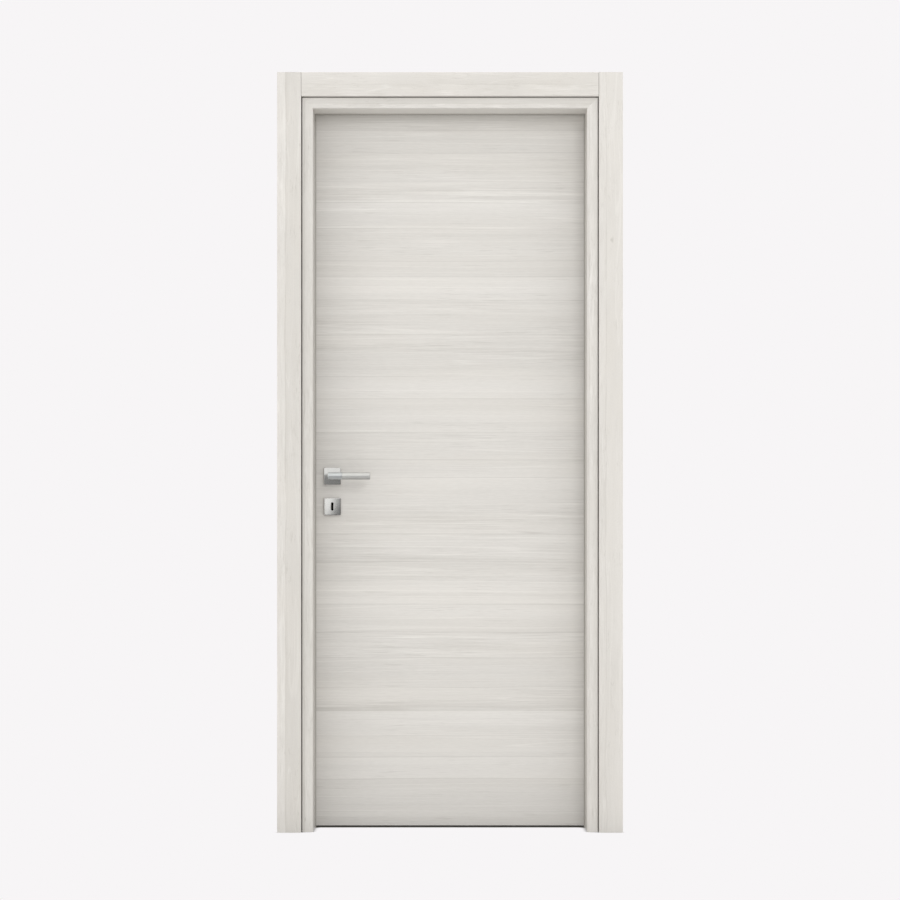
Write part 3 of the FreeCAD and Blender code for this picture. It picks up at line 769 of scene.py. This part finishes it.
def make_world():
    """Nearly even light on matt surfaces, weaker square on to the wall, from below and after a bounce. Metal
    sees a sky that fades to one side and towards the ground. The camera sees the pale backdrop."""
    world = bpy.data.worlds.new("studio")
    bpy.context.scene.world = world
    world.use_nodes = True
    tree = world.node_tree
    tree.nodes.clear()
    path = add(tree, "ShaderNodeLightPath").outputs
    x, y, z = axes(tree, add(tree, "ShaderNodeTexCoord").outputs["Generated"])

    # Metal's sky is brighter to the viewer's left, before the wall and behind it
    mirrored = calc(tree, "MULTIPLY", x, remap(tree, y, -0.2, 0.2, -1.0, 1.0))
    lean = calc(tree, "ADD", z, mirrored)
    shine = remap(tree, lean, -0.18, 0.22, 0.20, 1.42, True)
    shine = calc(tree, "MULTIPLY", shine, remap(tree, z, -0.2, 0.0, 0.62, 1.0))
    shine = calc(tree, "MULTIPLY", shine, remap(tree, z, 0.04, 0.22, 1.0, 0.80))

    # The even sky
    after_bounce = 0.25
    sky = remap(tree, path["Diffuse Depth"], 1.0, 2.0, sky_strength, sky_strength * after_bounce)
    square_on = calc(tree, "MULTIPLY", y, y)
    sky = calc(tree, "MULTIPLY", sky, remap(tree, square_on, 0.0, 1.0, 1.25, 0.68))
    sky = calc(tree, "MULTIPLY", sky, remap(tree, z, -0.6, 0.6, 0.85, 1.13))

    even = add(tree, "ShaderNodeBackground", {"Color": white, "Strength": sky})
    gleam = add(tree, "ShaderNodeBackground", {"Color": (1, 0.995, 0.98, 1), "Strength": shine})
    shown = add(tree, "ShaderNodeBackground", {"Color": backdrop_colour, "Strength": 1.0})
    lit = add(tree, "ShaderNodeMixShader", {
        0: path["Is Glossy Ray"], 1: even.outputs[0], 2: gleam.outputs[0]})
    seen = calc(tree, "MAXIMUM", path["Is Camera Ray"], path["Is Transmission Ray"])
    final = add(tree, "ShaderNodeMixShader", {0: seen, 1: lit.outputs[0], 2: shown.outputs[0]})
    output = tree.nodes.new("ShaderNodeOutputWorld")
    tree.links.new(final.outputs[0], output.inputs["Surface"])


def make_floor():
    """A floor that reads as the backdrop, and darkens where a piece hangs or stands close over it. It gives
    the pieces a glow that is weakest next to the door, and in metal it is darker further away."""
    half = 3.0
    mesh = bpy.data.meshes.new("floor")
    corners = [(-half, -half, 0.0), (half, -half, 0.0), (half, half, 0.0), (-half, half, 0.0)]
    mesh.from_pydata(corners, [], [(0, 1, 2, 3)])
    material, tree, output = new_material("floor")
    path = add(tree, "ShaderNodeLightPath").outputs

    # What the camera sees
    closeness = 0.02
    clear = add(tree, "ShaderNodeAmbientOcclusion", {"Distance": closeness}, samples=16).outputs["AO"]
    shade_colour = blend_colours(
        tree, remap(tree, clear, 0.3, 0.6), (0.23, 0.25, 0.26, 1), (0.74, 0.73, 0.735, 1))
    shade = add(tree, "ShaderNodeBsdfDiffuse", {"Color": shade_colour})
    shown = add(tree, "ShaderNodeEmission", {"Color": backdrop_colour, "Strength": 1.0})

    # What the other rays see, by the distance from the door
    place = axes(tree, add(tree, "ShaderNodeNewGeometry").outputs["Position"])
    leaf_middle_y = (leaf_front_y + leaf_back_y) / 2
    across = calc(tree, "ABSOLUTE", calc(tree, "SUBTRACT", place["Y"], leaf_middle_y))
    aside = calc(tree, "ABSOLUTE", calc(tree, "SUBTRACT", place["X"], passage_centre_x))
    past_face = calc(tree, "SUBTRACT", across, (leaf_back_y - leaf_front_y) / 2)
    past_side = calc(tree, "SUBTRACT", aside, frame_half_width)
    distance = calc(tree, "MAXIMUM", past_face, past_side)
    near_glow = remap(tree, distance, 0.0, 0.2, 0.20, 0.77)
    far_glow = remap(tree, distance, 0.2, 3.0, 0.0, 0.24)
    glow = add(tree, "ShaderNodeEmission", {
        "Color": (1.0, 0.985, 0.97, 1), "Strength": calc(tree, "ADD", near_glow, far_glow)})
    dim = add(tree, "ShaderNodeEmission", {
        "Color": backdrop_colour, "Strength": remap(tree, across, 0.7, 2.2, 0.50, 0.10, True)})

    matt = add(tree, "ShaderNodeMixShader", {
        0: path["Is Camera Ray"], 1: glow.outputs[0], 2: shade.outputs[0]})
    open_floor = calc(tree, "MULTIPLY", path["Is Camera Ray"], rise(tree, clear, 0.42, 0.88))
    surface = add(tree, "ShaderNodeMixShader", {0: open_floor, 1: matt.outputs[0], 2: shown.outputs[0]})
    surface = add(tree, "ShaderNodeMixShader", {
        0: path["Is Glossy Ray"], 1: surface.outputs[0], 2: dim.outputs[0]})
    tree.links.new(surface.outputs[0], output.inputs["Surface"])
    mesh.materials.append(material)
    floor = bpy.data.objects.new("floor", mesh)
    bpy.context.collection.objects.link(floor)
    floor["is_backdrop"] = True


def make_lamp(name, place, width, height, power):
    """A white rectangular lamp turned to the door's middle. Metal doesn't mirror it."""
    data = bpy.data.lights.new(name, "AREA")
    data.shape = "RECTANGLE"
    data.size = width
    data.size_y = height
    data.energy = power
    lamp = bpy.data.objects.new(name, data)
    bpy.context.collection.objects.link(lamp)
    lamp.visible_glossy = False
    lamp.location = place
    aim = np.array(lamp_target) - np.array(place)
    level = math.hypot(aim[0], aim[1])
    lamp.rotation_euler = (math.atan2(level, -aim[2]), 0.0, math.atan2(-aim[0], aim[1]))


make_camera()
make_world()
make_floor()
make_lamp("left_lamp", (-4.4, -1.7, 1.5), 1.6, 2.4, 16.0)
make_lamp("right_lamp", (1.0, -4.2, 3.4), 1.4, 1.4, 35.0)

scene = bpy.context.scene
scene.view_settings.view_transform = "Standard"

lowest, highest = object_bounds()
